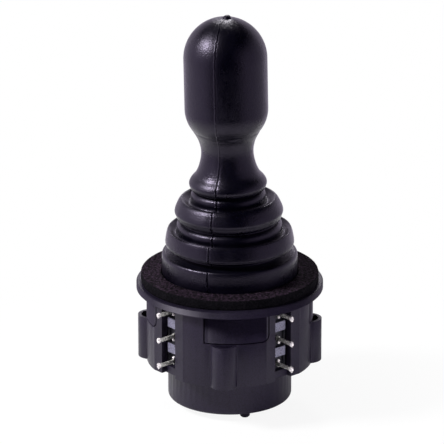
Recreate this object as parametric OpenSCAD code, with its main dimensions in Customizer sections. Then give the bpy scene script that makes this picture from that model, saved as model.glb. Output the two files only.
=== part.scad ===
// Panel-mounted industrial joystick: a rubber grip and gaiter over a steel lever, a two-axis
// gimbal with a centring spring, and four sub-miniature snap-action switches round the lever.
// Millimetres. The origin is on the lever's axis at the panel seat (the gasket's top face),
// +Z points up the lever, and the four switches face along +X, +Y, -X and -Y.

/* [Grip] */
// Diameter of the grip's straight bulb
grip_d = 25; // [23:0.2:28]
// Length of the bulb's straight part
grip_len = 15.5; // [10:0.1:22]
// Height of the bulb's lower end above the panel seat
bulb_z = 51.5; // [50:0.1:56]
// Radius of the bulb's rounded lower shoulder
shoulder_r = 10.5; // [9:0.1:11.5]
// Diameter of the neck below the bulb
neck_d = 15.7; // [14.6:0.1:17]
// Height of the neck's narrowest place
neck_z = 38.2; // [37.4:0.1:39]
// Diameter of the flare that covers the gaiter's top
flare_d = 23.4; // [22:0.2:24.4]
// Thickness of rubber over the grip's core
grip_wall = 2.6; // [1.8:0.1:2.8]

/* [Gaiter] */
// Diameter of the collar that fills the panel hole
collar_d = 41; // [40.4:0.2:42]
// Height of the collar's crest above the panel
collar_h = 6.5; // [6.2:0.1:7.2]
// Diameter of the lower convolution
lower_fold_d = 38.9; // [37:0.1:39.4]
// Diameter of the upper convolution
upper_fold_d = 32.7; // [31.6:0.1:34]
// Height from the collar's crest to the lower convolution's edge
collar_gap = 2.95; // [2.7:0.05:3.4]
// Height from one convolution's edge to the next one's
fold_pitch = 9.8; // [9.5:0.1:10.6]
// Height of a convolution's outer face, from its edge to its crest
fold_h = 4.1; // [3.7:0.1:4.3]
// Height of the upper convolution's tapered underside
under_h = 2.3; // [1.8:0.1:2.5]
// Height of the small ring above a crest
ring_rise = 2.75; // [2.4:0.05:2.9]
// Thickness of the gaiter's rubber
gaiter_wall = 1.3; // [1:0.1:1.4]

/* [Panel seat] */
// Diameter of the foam gasket
gasket_d = 53.9; // [50:0.1:55]
// Thickness of the foam gasket
gasket_t = 3; // [2:0.5:4]
// Diameter of the flange
flange_d = 56.5; // [56.4:0.1:60]
// Thickness of the flange
flange_t = 2.4; // [2:0.1:3.5]

/* [Housing] */
// Wall of the switch housing
shell_wall = 2.2; // [1.6:0.1:2.4]
// Gap between a switch's terminal face and the wall
face_gap = 0.16; // [0.1:0.02:0.4]
// Width of the window in front of each switch
window_w = 6.2; // [5:0.1:6.8]
// Width of the flat facet that each window is cut in
facet_w = 13.2; // [12:0.2:15]
// Thickness of the housing's floor
floor_t = 2.3; // [2:0.1:3.5]
// Diameter of the barrel below the switches
barrel_d = 37.6; // [36:0.1:39]
// Length of the barrel
barrel_h = 11.8; // [11:0.2:16]
// Wall of the barrel
barrel_wall = 1.8; // [1.4:0.1:2.2]
// Diameter of a half-round snap pocket
pocket_d = 8.2; // [7.6:0.1:9]
// Wall of a snap pocket
pocket_wall = 1; // [0.8:0.1:1.4]
// How far a snap pocket stands out of the housing
pocket_out = 2.7; // [2.4:0.05:3.2]

/* [Snap tabs] */
// Width of a snap tab
tab_w = 19.1; // [16:0.1:20]
// Length of a snap tab below the flange
tab_h = 8.8; // [8:0.1:10]
// Angle from a pocket's centre to its tab's centre
tab_turn = 9; // [7:0.5:10]
// Radius of the tab's rounded corner
tab_corner = 1.8; // [0.8:0.1:3]
// Slit round a tab
tab_slit = 0.35; // [0.3:0.05:0.5]

/* [Locating peg] */
// Diameter of the locating peg
peg_d = 3; // [2.5:0.1:3.4]
// Length of the locating peg
peg_h = 2.2; // [1.5:0.1:4]
// Distance of the peg from the lever's axis
peg_r = 14.5; // [13.8:0.1:14.7]

/* [Switches] */
// Length of a switch along the lever's axis
switch_l = 19.8; // [19.4:0.1:20.4]
// Thickness of a switch
switch_w = 6.4; // [6:0.1:6.6]
// Depth of a switch from its plunger face to its terminal face
switch_t = 10.2; // [9.8:0.1:10.4]
// Distance of a switch's plunger face from the lever's axis
switch_r = 11.8; // [11.6:0.1:12]
// Spacing of the terminals
terminal_pitch = 8.1; // [7.6:0.1:8.3]
// Width of a terminal's root and of its round head
terminal_w = 1.6; // [1.4:0.1:2.2]
// Width of a terminal's stem
stem_w = 1; // [0.8:0.1:1.3]
// Thickness of a terminal's blade
terminal_t = 0.5; // [0.4:0.1:0.8]
// How far a terminal stands out of its switch
terminal_out = 6.7; // [5:0.1:7.5]
// Diameter of a switch's plunger
plunger_d = 2.4; // [2:0.1:2.8]
// How far a plunger stands out of its switch
plunger_out = 0.9; // [0.8:0.05:1.2]
// Travel of a plunger
plunger_travel = 0.6; // [0.4:0.1:0.7]

/* [Lever and gimbal] */
// Diameter of the lever's steel shaft
shaft_d = 6; // [5:0.1:6.2]
// Tilt of the lever to each side
tilt = 12; // [10:0.5:12]
// Height of the pivot above the panel seat
pivot_z = 2; // [1.8:0.1:2.1]
// Diameter of the lever pin and of the gimbal's pins
pin_d = 2.5; // [2:0.1:2.6]
// Outer diameter of the gimbal ring
ring_d = 23; // [22.6:0.1:23.4]
// Height of the gimbal ring
ring_h = 5.4; // [5:0.1:5.6]
// Wire diameter of the centring spring
wire_d = 0.9; // [0.7:0.1:1.1]
// Turns of the centring spring
spring_turns = 3; // [2:0.5:3.5]

/* [Fits] */
// Radial clearance of a pin that turns in its bush
running = 0.05; // [0.03:0.01:0.08]
// Clearance between pieces that are fixed together
slip = 0.05; // [0.02:0.01:0.1]
// Clearance between pieces that move past each other
pass = 0.3; // [0.2:0.05:0.4]

/* [Hidden] */

$fn = 96;
EPS = 0.01;        // overrun of a cut past the face that it opens
BIG = 100;         // larger than the part
SIDES = [0, 90, 180, 270];

rubber = "#17171a";
foam = "#1c1917";
plastic = "#2b2b2f";
case_grey = "#8f90a2";
tinned = "#d9dadd";
steel = "#b8bcc0";
brass = "#b39a52";
white_plastic = "#d8d6cc";

// ---- Levels along the lever's axis, from the panel seat down ----
flange_top = -gasket_t;
flange_bottom = flange_top - flange_t;
switch_top = flange_bottom - 0.5;
switch_mid = switch_top - switch_l / 2;
floor_top = switch_top - switch_l - 2 * slip;
shell_bottom = floor_top - floor_t;
barrel_bottom = shell_bottom - barrel_h;
gate_t = 1.6;
gate_bottom = shell_bottom - slip - gate_t;
cap_t = 2.2;

// ---- Radii of the housing ----
face_r = switch_r + switch_t;
flat_x = face_r + face_gap + shell_wall;
shell_r = sqrt(flat_x * flat_x + facet_w * facet_w / 4);
barrel_r = barrel_d / 2;
bore_r = barrel_r - barrel_wall;
collar_r = collar_d / 2;
neck_out_r = collar_r - gaiter_wall - slip;
neck_in_r = neck_out_r - 2;
crest_drop = 0.2;
neck_top = collar_h - crest_drop - gaiter_wall - 2 * slip;

// ---- Lever: how far it leans to one side, and over both axes at once ----
shaft_r = shaft_d / 2;
lean = sin(tilt);
lean_corner = sqrt(pow(sin(tilt), 2) + pow(cos(tilt) * sin(tilt), 2));
function swept(z) = (pivot_z - z) * lean_corner + shaft_r / cos(tilt * sqrt(2));

// ---- Gimbal ----
ring_r = ring_d / 2;
ring_in_r = ring_r - 3.3;
pin_r = pin_d / 2;
bush_r = pin_r + 0.5;
bush_flange_r = pin_r + 1.5;
bush_flange_t = 0.8;
hub_r = ring_in_r - 1.9;
boss_r = bush_r + 1.1;
spot_r = boss_r + 0.3;
ring_spot_in = ring_in_r + 0.2;
ring_spot_out = ring_r - 0.2;
thrust_gap = 0.2;
boss_x = ring_spot_out + thrust_gap + bush_flange_t;

// ---- Actuator, which stops just short of the plungers at full tilt ----
plunger_z = switch_mid + 2.3;
plunger_tip_r = switch_r - plunger_out;
actuator_gap = 0.15;
rim_r = 2.4;
rim_drop = pivot_z - plunger_z;
actuator_r = (plunger_tip_r - actuator_gap - rim_drop * lean - rim_r * (1 - cos(tilt))) / cos(tilt);
actuator_top = plunger_z + 1.9;
actuator_bottom = plunger_z - 1.9;
clip_t = 0.7;
clip_groove_r = shaft_r - 0.6;

// ---- Centring spring, between the housing and the actuator ----
spring_r = swept(flange_bottom) + 0.35 + wire_d / 2;
spring_seat = 0.4;
spring_top = flange_bottom + spring_seat - slip - wire_d / 2;
spring_bottom = actuator_top + slip + wire_d / 2;

// ---- Lower opening, gate and base screws ----
floor_hole_r = swept(shell_bottom) + 2 * pass;
gate_half = (pivot_z - gate_bottom) * tan(tilt) + shaft_r / cos(tilt) + pass;
shaft_bottom = gate_bottom - 4.5;
screw_r = 1.1;
screw_head_r = 2;
screw_ring_r = bore_r - 2.15;
screw_turn = 22.5;
screw_top = floor_top + 3;
screw_boss_r = 2;

// ---- Grip ----
grip_r = grip_d / 2;
neck_r = neck_d / 2;
flare_r = flare_d / 2;
dome_z = bulb_z + grip_len;
core_r = grip_r - grip_wall;
stem_r = neck_r - grip_wall;
core_bottom = neck_z - 7;
shaft_top = dome_z - 6;
grip_pin_z = neck_z + 1;
grip_pin_r = 1;

// ---- Gaiter: levels of the edges, and of the pinches where the moulding is split ----
lower_r = lower_fold_d / 2;
upper_r = upper_fold_d / 2;
lower_under = 0.95;
flare_under = 1.9;
pinch_gap = 0.2;
lower_edge = collar_h + collar_gap;
upper_edge = lower_edge + fold_pitch;
flare_edge = upper_edge + fold_h + ring_rise + pinch_gap + flare_under;
split_low = lower_edge - lower_under - 1.1;
split_mid = (lower_edge + fold_h + ring_rise + upper_edge - under_h) / 2;
split_top = flare_edge - flare_under - pinch_gap / 2;

function lerp(a, b, t) = a + (b - a) * t;

// A smooth curve through a list of points, with a few short steps between each two
CURVE_STEPS = 3;
function catmull(a, b, c, d, t) = 0.5 * ((2 * b) + (c - a) * t
    + (2 * a - 5 * b + 4 * c - d) * t * t + (3 * b - a - 3 * c + d) * t * t * t);
function smooth(p) = [
    for (i = [0 : len(p) - 2], k = [0 : CURVE_STEPS - 1])
        catmull(p[max(i - 1, 0)], p[i], p[i + 1], p[min(i + 2, len(p) - 1)], k / CURVE_STEPS),
    p[len(p) - 1]
];

// Points on an arc about [cx, cz], from angle a0 to a1
function arc(cx, cz, r, a0, a1, n) = [
    for (i = [0 : n]) let (a = lerp(a0, a1, i / n)) [cx + r * cos(a), cz + r * sin(a)]
];

// One convolution of the gaiter, as [radius, height] from its underside to the pinch above its
// ring: a tapered underside, an edge, a drafted outer face, a crest, a narrow groove, and a
// smaller ring that rises from the groove
function convolution(r, edge_z, under, crest_r, ring_r, pinch_r) = let (crest_z = edge_z + fold_h) [
    [r - 1.5, edge_z - under], [r - 0.3 * under - 0.1, edge_z - 0.95 * under],
    [r - 0.13 * under, edge_z - 0.42 * under], [r, edge_z],
    [lerp(r, crest_r, 0.1), edge_z + 0.25 * fold_h], [lerp(r, crest_r, 0.28), edge_z + 0.5 * fold_h],
    [lerp(r, crest_r, 0.5), edge_z + 0.75 * fold_h], [lerp(r, crest_r, 0.75), edge_z + 0.93 * fold_h],
    [crest_r, crest_z],
    [lerp(crest_r, ring_r, 0.25), crest_z - 0.11 * ring_rise],
    [lerp(crest_r, ring_r, 0.62), crest_z - 0.4 * ring_rise],
    [lerp(crest_r, ring_r, 0.9), crest_z - 0.45 * ring_rise],
    [ring_r - 0.1, crest_z - 0.2 * ring_rise], [ring_r, crest_z + 0.2 * ring_rise],
    [ring_r - 0.15, crest_z + 0.58 * ring_rise], [ring_r - 0.7, crest_z + 0.82 * ring_rise],
    [pinch_r, crest_z + 0.95 * ring_rise]
];

// The moulding's outer face from the bottom of the collar to the pinch under the flare
gaiter_points = concat(
    [[collar_r, collar_h - 1.6], [collar_r - 0.1, collar_h - 0.8], [collar_r - 0.4, collar_h - 0.35],
     [collar_r - 0.9, collar_h - crest_drop], [collar_r - 2, collar_h - crest_drop],
     [lower_r - 2.6, collar_h], [lower_r - 3.3, lerp(collar_h, split_low, 0.7)],
     [lower_r - 2.6, lower_edge - 1.4 * lower_under]],
    convolution(lower_r, lower_edge, lower_under, lower_r - 1, lower_r - 3.5, lower_r - 5),
    convolution(upper_r, upper_edge, under_h, upper_r - 2.3, flare_r - 0.45, flare_r - 1.9)
);

// Where the bulb's rounded shoulder begins, below its widest place
shoulder_turn = 32;
shoulder_c = grip_r - shoulder_r;
shoulder_z = bulb_z - shoulder_r * sin(shoulder_turn);
neck_rise = shoulder_z - neck_z;

// The flare's rim, the flare and the neck, up to the bulb's shoulder
flare_rise = neck_z - flare_edge;
flare_points = [
    [flare_r - 1.3, flare_edge - flare_under], [flare_r - 0.6, flare_edge - 0.9 * flare_under],
    [flare_r - 0.15, flare_edge - 0.42 * flare_under], [flare_r, flare_edge],
    [lerp(flare_r, neck_r, 0.05), flare_edge + 0.07 * flare_rise],
    [lerp(flare_r, neck_r, 0.2), flare_edge + 0.16 * flare_rise],
    [lerp(flare_r, neck_r, 0.44), flare_edge + 0.26 * flare_rise],
    [lerp(flare_r, neck_r, 0.62), flare_edge + 0.37 * flare_rise],
    [lerp(flare_r, neck_r, 0.81), flare_edge + 0.55 * flare_rise],
    [lerp(flare_r, neck_r, 0.96), flare_edge + 0.79 * flare_rise],
    [neck_r, neck_z], [neck_r + 0.25, neck_z + 0.25 * neck_rise],
    [neck_r + 0.95, neck_z + 0.53 * neck_rise], [neck_r + 2, neck_z + 0.77 * neck_rise]
];

// The bulb: a round shoulder, a straight part and a round top
bulb_points = concat(
    arc(shoulder_c, bulb_z, shoulder_r, -shoulder_turn, 0, 10),
    arc(0, dome_z, grip_r, 0, 90, 20)
);

// Below the panel seat the collar steps in, so that the foam can close round its foot
foot_relief = 0.3;
foot_step = 0.1;
foot_r = collar_r - foot_relief;

module moulding_outline() {
    polygon(concat(
        [[0, flange_top], [foot_r, flange_top], [foot_r, foot_r - collar_r - foot_step],
         [collar_r, -foot_step]],
        smooth(concat(gaiter_points, flare_points, [bulb_points[0], bulb_points[1]])),
        [for (i = [2 : len(bulb_points) - 1]) bulb_points[i]]
    ));
}

// The gaiter's hollow: the outline moved inwards by the rubber's thickness
module moulding_hollow() {
    offset(delta = -gaiter_wall) {
        moulding_outline();
        mirror([1, 0]) moulding_outline();
    }
}

// The part of the moulding between two levels, as a turned skin of even thickness
module moulding_band(from_z, to_z) {
    rotate_extrude() intersection() {
        difference() {
            moulding_outline();
            moulding_hollow();
        }
        translate([0, from_z]) square([BIG, to_z - from_z]);
    }
}

// ---- Rubber moulding: grip and gaiter ----

// The grip's rigid core. The rubber's hollow is the same form, grown by the fit.
module core_form(grow = 0) {
    translate([0, 0, dome_z]) sphere(r = core_r + grow);
    translate([0, 0, bulb_z]) cylinder(r = core_r + grow, h = grip_len);
    translate([0, 0, bulb_z]) sphere(r = core_r + grow);
    translate([0, 0, core_bottom]) cylinder(r = stem_r + grow, h = bulb_z - core_bottom);
}

module grip() {
    nub_r = 0.85;
    nub_h = 0.7;
    color(rubber) {
        difference() {
            union() {
                rotate_extrude() intersection() {
                    moulding_outline();
                    translate([EPS, split_top]) square([BIG, BIG]);
                }
                translate([0, 0, dome_z + grip_r - 0.3]) cylinder(r1 = 1.2 * nub_r, r2 = nub_r, h = nub_h + 0.3);
            }
            core_form(slip);
            rotate_extrude() intersection() {
                moulding_hollow();
                translate([0, split_top - EPS]) square([BIG, core_bottom - split_top + EPS]);
            }
        }
    }
}

module grip_insert() {
    color(white_plastic) difference() {
        core_form();
        translate([0, 0, core_bottom - EPS])
            cylinder(r = shaft_r + slip, h = shaft_top + 2 * slip - core_bottom + EPS);
        translate([0, 0, core_bottom - EPS])
            cylinder(r1 = shaft_r + 0.8, r2 = shaft_r + slip, h = 0.8);
        translate([0, 0, grip_pin_z]) rotate([0, 90, 0])
            cylinder(r = grip_pin_r + slip, h = 2 * neck_r, center = true);
    }
}

module grip_pin() {
    color(steel) translate([0, 0, grip_pin_z]) rotate([0, 90, 0])
        cylinder(r = grip_pin_r, h = 2 * (stem_r - 0.2), center = true);
}

module gaiter_upper() {
    color(rubber) moulding_band(split_mid, split_top);
}

module gaiter_lower() {
    color(rubber) moulding_band(split_low, split_mid);
}

// The collar grips the housing's neck, with a rounded crest
module gaiter_collar() {
    color(rubber) difference() {
        rotate_extrude() intersection() {
            moulding_outline();
            translate([EPS, flange_top + slip]) square([BIG, split_low - flange_top - slip]);
        }
        rotate_extrude() intersection() {
            moulding_hollow();
            translate([0, neck_top]) square([BIG, split_low - neck_top + EPS]);
        }
        translate([0, 0, flange_top - EPS]) cylinder(r = neck_out_r + slip, h = neck_top - flange_top + 2 * EPS);
    }
}

// ---- Panel seat ----

module panel_gasket() {
    color(foam) translate([0, 0, flange_top]) difference() {
        cylinder(d = gasket_d, h = gasket_t);
        translate([0, 0, -EPS]) cylinder(r = collar_r + slip, h = gasket_t + 2 * EPS);
    }
}

// ---- Housing ----

// Outline of the switch housing: a circle with a flat facet at each window
module shell_outline(inset = 0) {
    intersection() {
        circle(r = shell_r - inset);
        square(2 * (flat_x - inset), center = true);
    }
}

module shell_wall_ring(from_z, to_z) {
    translate([0, 0, from_z]) linear_extrude(to_z - from_z) difference() {
        shell_outline();
        shell_outline(shell_wall);
    }
}

// A tab's outline as seen from outside, hanging down from the flange. One corner is round.
module tab_outline(grow = 0) {
    w = tab_w + 2 * grow;
    h = tab_h + grow;
    r = tab_corner + grow;
    translate([-w / 2, -h]) {
        translate([0, r]) square([w, h - r]);
        square([w - r, r + EPS]);
        translate([w - r, r]) circle(r = r);
    }
}

// The same outline pushed through the housing's wall, at the tab's place beside pocket a
module tab_prism(a, grow = 0, inner = 0) {
    rotate(a + tab_turn) translate([inner, 0, flange_bottom])
        rotate([90, 0, 90]) linear_extrude(BIG / 2) tab_outline(grow);
}

POCKETS = [45, 135, 225, 315];
tab_bottom = flange_bottom - tab_h;
pocket_r = pocket_d / 2;
pocket_c = shell_r + pocket_out - pocket_r;
pocket_top = tab_bottom - 0.6;
tab_inner_r = shell_r - shell_wall;
hook_w = 5;
hook_t = 1.3;
hook_out = 1.1;
hook_top = tab_bottom - 3;
hook_h = 2.4;
hook_back = tab_inner_r - pass;

// A snap hook hangs behind the tab and catches in a window that the pocket hides
module snap_hook(a) {
    rotate(a) {
        translate([hook_back - hook_t, -hook_w / 2, hook_top - hook_h])
            cube([hook_t, hook_w, tab_bottom - hook_top + hook_h]);
        translate([hook_back - hook_t, -hook_w / 2, tab_bottom])
            cube([hook_t + pass + shell_wall / 2, hook_w, 1.6]);
        translate([hook_back, hook_w / 2, hook_top]) rotate([90, 0, 0]) linear_extrude(hook_w)
            polygon([[-EPS, 0], [hook_out, 0], [hook_out, -0.4], [-EPS, -hook_h]]);
    }
}

module upper_housing() {
    pad_w = switch_w - 1;
    color(plastic) {
        difference() {
            union() {
                // Flange with softened edges
                rotate_extrude() polygon([
                    [0, flange_bottom], [flange_d / 2 - 0.3, flange_bottom],
                    [flange_d / 2, flange_bottom + 0.3], [flange_d / 2, flange_top - 0.3],
                    [flange_d / 2 - 0.3, flange_top], [0, flange_top]
                ]);
                // Neck that the gaiter's collar grips
                translate([0, 0, flange_top - EPS]) difference() {
                    cylinder(r = neck_out_r, h = neck_top - flange_top + EPS);
                    translate([0, 0, EPS]) cylinder(r = neck_in_r, h = BIG);
                }
                // Bearing bosses of the gimbal, tied to the neck and the flange
                for (side = [0, 180]) rotate(side) translate([boss_x, 0, pivot_z])
                    rotate([90, 0, 90]) linear_extrude(neck_in_r + 1 - boss_x) {
                        circle(r = boss_r);
                        translate([-boss_r, flange_bottom + 1 - pivot_z])
                            square([2 * boss_r, pivot_z - flange_bottom - 1]);
                    }
                // Pads that hold the switches down
                for (a = SIDES) rotate(a)
                    translate([switch_r + 1.5, -pad_w / 2, switch_top + slip])
                        cube([switch_t - 3, pad_w, flange_bottom - switch_top]);
            }
            // Funnel that the lever passes through, and a recess under the gimbal ring
            translate([0, 0, flange_bottom - EPS])
                cylinder(r = swept(flange_bottom) + pass / 2, h = flange_t + 2 * EPS);
            translate([0, 0, flange_top - 0.6]) cylinder(r = ring_r + 0.6, h = 1);
            // Counterbore that seats the centring spring
            translate([0, 0, flange_bottom - EPS])
                cylinder(r = spring_r + wire_d / 2 + 2 * slip, h = spring_seat + EPS);
            // Bores of the gimbal bushes
            translate([0, 0, pivot_z]) rotate([0, 90, 0])
                cylinder(r = bush_r + slip, h = 2 * neck_out_r + 2, center = true);
        }
        // Tabs, flush with the switch housing's wall, and their hooks
        for (a = POCKETS) {
            intersection() {
                shell_wall_ring(tab_bottom - EPS, flange_bottom + EPS);
                tab_prism(a);
            }
            snap_hook(a);
        }
    }
}

// Outline of the switch housing with its half-round pockets
module pocketed_outline() {
    shell_outline();
    for (a = POCKETS) rotate(a) translate([pocket_c, 0]) circle(r = pocket_r);
}

// The pockets are hollow and open at the top, and cover the snap windows
module pocket_hollows() {
    difference() {
        for (a = POCKETS) rotate(a) translate([pocket_c, 0]) circle(r = pocket_r - pocket_wall);
        shell_outline();
    }
}

// Ribs either side of a switch keep it upright
module switch_guides() {
    rib_t = 1.2;
    rib_in = switch_r + 0.8;
    rib_len = switch_t - 2.2;
    for (a = SIDES, s = [-1, 1]) rotate(a)
        translate([rib_in, s * (switch_w / 2 + 2 * slip + rib_t / 2) - rib_t / 2, floor_top - EPS])
            cube([rib_len, rib_t, switch_top - 1.5 - floor_top]);
}

module screw_places() {
    for (a = SIDES) rotate(a + screw_turn) translate([screw_ring_r, 0, 0]) children();
}

module lower_housing() {
    edge = 1;
    color(plastic) difference() {
        union() {
            // Floor, walls with pockets, and walls above the pockets
            translate([0, 0, shell_bottom]) linear_extrude(floor_t) pocketed_outline();
            translate([0, 0, floor_top]) linear_extrude(pocket_top - floor_top) difference() {
                pocketed_outline();
                shell_outline(shell_wall);
                pocket_hollows();
            }
            shell_wall_ring(pocket_top, flange_bottom - slip);
            // Barrel with a rounded lower edge
            rotate_extrude() polygon(concat(
                [[bore_r, barrel_bottom]],
                arc(barrel_r - edge, barrel_bottom + edge, edge, -90, 0, 6),
                [[barrel_r, shell_bottom + floor_t / 2], [bore_r, shell_bottom + floor_t / 2]]
            ));
            switch_guides();
            screw_places() translate([0, 0, floor_top - EPS])
                cylinder(r = screw_boss_r, h = screw_top + 0.8 - floor_top);
        }
        // Windows, cut through the wall and on down through the floor's edge
        for (a = SIDES) rotate(a) {
            translate([face_r - 1, -window_w / 2, floor_top]) cube([BIG, window_w, BIG]);
            translate([face_r + rib_out + 2 * slip, -window_w / 2, shell_bottom - EPS])
                cube([BIG, window_w, BIG]);
        }
        // Notches for the tabs, and the windows of their hooks
        for (a = POCKETS) {
            tab_prism(a, tab_slit, inner = switch_r);
            rotate(a) translate([hook_back - 1, -hook_w / 2 - pass, hook_top - hook_h - pass])
                cube([shell_r - hook_back + 1, hook_w + 2 * pass, hook_h + 2 * pass]);
        }
        translate([0, 0, shell_bottom - EPS]) cylinder(r = floor_hole_r, h = floor_t + 1);
        screw_places() translate([0, 0, shell_bottom - EPS])
            cylinder(r = screw_r, h = screw_top + slip - shell_bottom + EPS);
    }
}

// ---- Base ----

module base_cap() {
    post_r = screw_boss_r;
    color(plastic) difference() {
        union() {
            translate([0, 0, barrel_bottom]) cylinder(r = bore_r - slip, h = cap_t);
            screw_places() translate([0, 0, barrel_bottom])
                cylinder(r = post_r, h = gate_bottom - slip - barrel_bottom);
            // Locating peg, with a small lead-in
            rotate(-screw_turn) translate([peg_r, 0, barrel_bottom - peg_h]) {
                translate([0, 0, 0.4]) cylinder(d = peg_d, h = peg_h);
                cylinder(d1 = peg_d - 0.8, d2 = peg_d, h = 0.4 + EPS);
            }
        }
        screw_places() {
            translate([0, 0, barrel_bottom - EPS]) cylinder(r = screw_r + 2 * slip, h = barrel_h);
            translate([0, 0, barrel_bottom - EPS]) cylinder(r = screw_head_r + 2 * slip, h = 1.4 + EPS);
        }
    }
}

module base_screws() {
    head_h = 1.2;
    head_z = barrel_bottom + 1.4 - head_h;
    color(steel) screw_places() difference() {
        union() {
            translate([0, 0, head_z]) cylinder(r1 = screw_head_r - 0.4, r2 = screw_head_r, h = 0.4);
            translate([0, 0, head_z + 0.4]) cylinder(r = screw_head_r, h = head_h - 0.4);
            translate([0, 0, head_z]) cylinder(r = screw_r, h = screw_top - 1 - head_z);
            translate([0, 0, screw_top - 1]) cylinder(r1 = screw_r, r2 = 0.2, h = 1);
        }
        // Cross recess
        for (turn = [0, 90]) rotate(turn) translate([0, 0, head_z + 0.3])
            cube([2.2, 0.45, 0.8], center = true);
    }
}

// The square gate limits the lever's lean and still lets it into the corners
module gate_plate() {
    corner = shaft_r;
    color(white_plastic) translate([0, 0, gate_bottom]) difference() {
        cylinder(r = bore_r - slip, h = gate_t);
        for (turn = [0, 90]) rotate(turn)
            translate([0, 0, gate_t / 2])
                cube([2 * gate_half, 2 * (gate_half - corner), 2 * gate_t], center = true);
        for (a = SIDES) rotate(a) translate([gate_half - corner, gate_half - corner, -EPS])
            cylinder(r = corner, h = gate_t + 2 * EPS);
        screw_places() translate([0, 0, -EPS]) cylinder(r = screw_r + 2 * slip, h = gate_t + 2 * EPS);
    }
}

// ---- Lever and gimbal ----

module lever_shaft() {
    nose = 0.6;
    color(steel) difference() {
        union() {
            translate([0, 0, shaft_bottom]) cylinder(r1 = shaft_r - nose, r2 = shaft_r, h = nose);
            translate([0, 0, shaft_bottom + nose])
                cylinder(r = shaft_r, h = shaft_top - shaft_bottom - 2 * nose);
            translate([0, 0, shaft_top - nose]) cylinder(r1 = shaft_r, r2 = shaft_r - nose, h = nose);
        }
        translate([0, 0, actuator_bottom - slip - clip_t - slip]) difference() {
            cylinder(r = shaft_r + 1, h = clip_t + 2 * slip);
            translate([0, 0, -1]) cylinder(r = clip_groove_r, h = 3);
        }
        translate([0, 0, pivot_z]) rotate([90, 0, 0])
            cylinder(r = pin_r + slip, h = 2 * shaft_r + 1, center = true);
        translate([0, 0, grip_pin_z]) rotate([0, 90, 0])
            cylinder(r = grip_pin_r + slip, h = 2 * shaft_r + 1, center = true);
    }
}

// Ball-shaped hub, fixed to the shaft by the lever pin
module pivot_hub() {
    color(brass) translate([0, 0, pivot_z]) difference() {
        union() {
            intersection() {
                sphere(r = hub_r);
                cylinder(r = hub_r, h = 1.56 * hub_r, center = true);
            }
            rotate([90, 0, 0]) cylinder(r = pin_r + 1.4, center = true,
                h = 2 * (ring_spot_in - bush_flange_t - thrust_gap));
        }
        cylinder(r = shaft_r + slip, h = 3 * hub_r, center = true);
        rotate([90, 0, 0]) cylinder(r = pin_r + slip, h = 4 * hub_r, center = true);
    }
}

module lever_pin() {
    color(steel) translate([0, 0, pivot_z]) rotate([90, 0, 0])
        cylinder(r = pin_r, h = 2 * (ring_r - 0.6), center = true);
}

// A flanged bush along +X, with its flange's free face at x = face
module bush(face, end) {
    translate([0, 0, pivot_z]) rotate([0, 90, 0]) difference() {
        union() {
            translate([0, 0, face]) cylinder(r = bush_flange_r, h = bush_flange_t);
            translate([0, 0, face]) cylinder(r = bush_r, h = end - face);
        }
        translate([0, 0, face - 1]) cylinder(r = pin_r + running, h = end - face + 2);
    }
}

module lever_bushes() {
    color(brass) for (side = [90, 270]) rotate(side)
        bush(ring_spot_in - bush_flange_t - slip, ring_r - 0.3);
}

module gimbal_bushes() {
    color(brass) for (side = [0, 180]) rotate(side)
        bush(boss_x - bush_flange_t - slip, neck_out_r - 0.6);
}

module gimbal_ring() {
    color(steel) translate([0, 0, pivot_z]) difference() {
        cylinder(r = ring_r, h = ring_h, center = true);
        cylinder(r = ring_in_r, h = ring_h + 1, center = true);
        // Spot faces for the bush flanges, inside and out
        rotate([90, 0, 0]) cylinder(r = spot_r, h = 2 * ring_spot_in, center = true);
        for (side = [0, 180]) rotate(side) translate([ring_spot_out, 0, 0]) rotate([0, 90, 0])
            cylinder(r = spot_r, h = 2);
        // Holes for the lever bushes and the pressed-in gimbal pins
        rotate([90, 0, 0]) cylinder(r = bush_r + slip, h = 2 * ring_r + 2, center = true);
        rotate([0, 90, 0]) cylinder(r = pin_r + slip / 2, h = 2 * ring_r + 2, center = true);
    }
}

module gimbal_pins() {
    pin_start = ring_in_r + 0.3;
    color(steel) for (side = [0, 180]) rotate(side) translate([pin_start, 0, pivot_z])
        rotate([0, 90, 0]) {
            cylinder(r = pin_r, h = neck_out_r - 1.3 - pin_start);
            translate([0, 0, neck_out_r - 1.3 - pin_start]) cylinder(r1 = pin_r, r2 = pin_r - 0.3, h = 0.3);
        }
}

// Coil spring: a round wire swept along a helix
WIRE_SIDES = 8;
TURN_STEPS = 24;
module return_spring() {
    steps = round(spring_turns * TURN_STEPS);
    points = [
        for (i = [0 : steps], k = [0 : WIRE_SIDES - 1])
            let (a = 360 * i / TURN_STEPS, b = 360 * k / WIRE_SIDES,
                 r = spring_r + wire_d / 2 * cos(b),
                 z = lerp(spring_top, spring_bottom, i / steps) + wire_d / 2 * sin(b))
            [r * cos(a), r * sin(a), z]
    ];
    faces = concat(
        [[for (k = [0 : WIRE_SIDES - 1]) k]],
        [for (i = [0 : steps - 1], k = [0 : WIRE_SIDES - 1]) let (n = (k + 1) % WIRE_SIDES, o = i * WIRE_SIDES)
            [o + k, o + WIRE_SIDES + k, o + WIRE_SIDES + n, o + n]],
        [[for (k = [WIRE_SIDES - 1 : -1 : 0]) steps * WIRE_SIDES + k]]
    );
    color(steel) polyhedron(points, faces, convexity = 10);
}

// The actuator slides on the shaft and leans on the clip. Its round rim presses the plungers.
module actuator() {
    top_r = spring_r + wire_d / 2 + 2 * slip;
    color(white_plastic) difference() {
        rotate_extrude() intersection() {
            union() {
                translate([actuator_r - rim_r, plunger_z]) circle(r = rim_r);
                translate([0, actuator_bottom]) square([actuator_r - rim_r + EPS, actuator_top - actuator_bottom]);
                translate([0, actuator_top - 1]) square([min(top_r, actuator_r), 1]);
            }
            translate([0, actuator_bottom]) square([BIG, actuator_top - actuator_bottom]);
        }
        translate([0, 0, plunger_z]) cylinder(r = shaft_r + slip, h = BIG, center = true);
    }
}

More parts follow.
